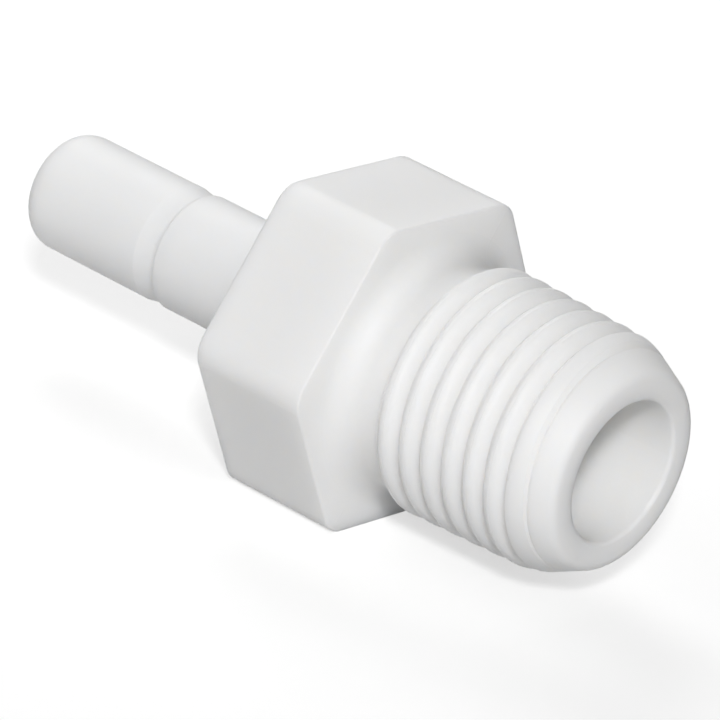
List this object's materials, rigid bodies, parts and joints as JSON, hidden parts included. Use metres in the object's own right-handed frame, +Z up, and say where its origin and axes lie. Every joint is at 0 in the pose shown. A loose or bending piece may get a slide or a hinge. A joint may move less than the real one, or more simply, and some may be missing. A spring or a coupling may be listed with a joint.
{
  "type": "straight quick connector",
  "caption": "Straight plug-in tube adaptor: plain stem with a grip groove, spanner hexagon and tapered male pipe thread, open right through.",
  "frame": {"origin": "on the fitting's axis, in the hexagon's front face, where the neck of the thread begins", "axes": "+X along the axis towards the thread's free end, +Z up through the middle of one flat of the hexagon, +Y completes the set"},
  "size_m": [0.0383, 0.0184, 0.0164],
  "materials": {
    "connector_body": "white moulded acetal, satin gloss"
  },
  "bodies": {
    "root": {"connector_body": "connector_body"}
  },
  "joints": []
}
